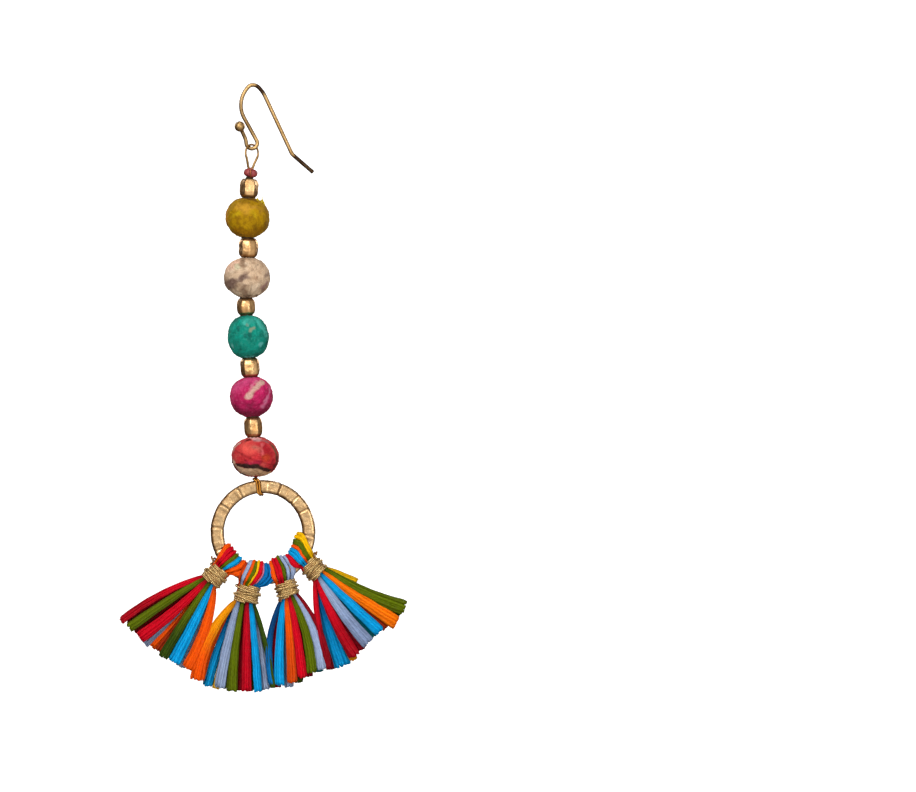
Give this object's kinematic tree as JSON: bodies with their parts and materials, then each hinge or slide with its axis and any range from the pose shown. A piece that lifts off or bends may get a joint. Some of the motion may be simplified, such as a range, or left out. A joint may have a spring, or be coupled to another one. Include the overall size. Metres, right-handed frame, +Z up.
{
  "type": "fringe earring",
  "caption": "Drop earring: ear wire, a string of cloth-covered and faceted metal beads, and a ring that carries floss tassels bound in gold thread.",
  "frame": {"origin": "inside top of the ear wire's arch, where the earring hangs in the ear", "axes": "+Z up along the hanging drop, +X to the right of the front view towards the ear wire's tail, +Y away from the viewer"},
  "size_m": [0.0566, 0.0094, 0.1221],
  "materials": {
    "ear_wire_gold": "polished gold-plated wire",
    "fine_wire_gold": "fine gold-plated wire",
    "stopper_pink": "dull pink bead",
    "bead_gold": "polished faceted metal",
    "cloth_mustard": "wrapped sari cloth",
    "cloth_cream": "wrapped sari cloth, mottled",
    "cloth_teal": "wrapped sari cloth",
    "cloth_magenta": "wrapped sari cloth",
    "cloth_red": "wrapped printed sari cloth",
    "ring_gold": "hammered antique gold",
    "floss": "stranded cotton floss in many colours",
    "gold_thread": "metallic gold thread"
  },
  "bodies": {
    "ear_hook": {"ear_hook": "ear_wire_gold"},
    "drop": {"bead_wire": "fine_wire_gold", "stopper_bead": "stopper_pink", "spacer_bead_1": "bead_gold", "spacer_bead_2": "bead_gold", "spacer_bead_3": "bead_gold", "spacer_bead_4": "bead_gold", "spacer_bead_5": "bead_gold", "bead_mustard": "cloth_mustard", "bead_cream": "cloth_cream", "bead_teal": "cloth_teal", "bead_magenta": "cloth_magenta", "bead_red": "cloth_red", "fringe_ring": "ring_gold", "tassel_1": "floss", "tassel_2": "floss", "tassel_3": "floss", "tassel_4": "floss", "binding_1": "gold_thread", "binding_2": "gold_thread", "binding_3": "gold_thread", "binding_4": "gold_thread"}
  },
  "joints": [
    {"name": "drop_swing", "type": "hinge", "parent": "ear_hook", "child": "drop", "pos_m": [-0.00012, 0, -0.01322], "axis": [-0.7071, 0.7071, 0], "range_deg": [-60, 60]}
  ]
}
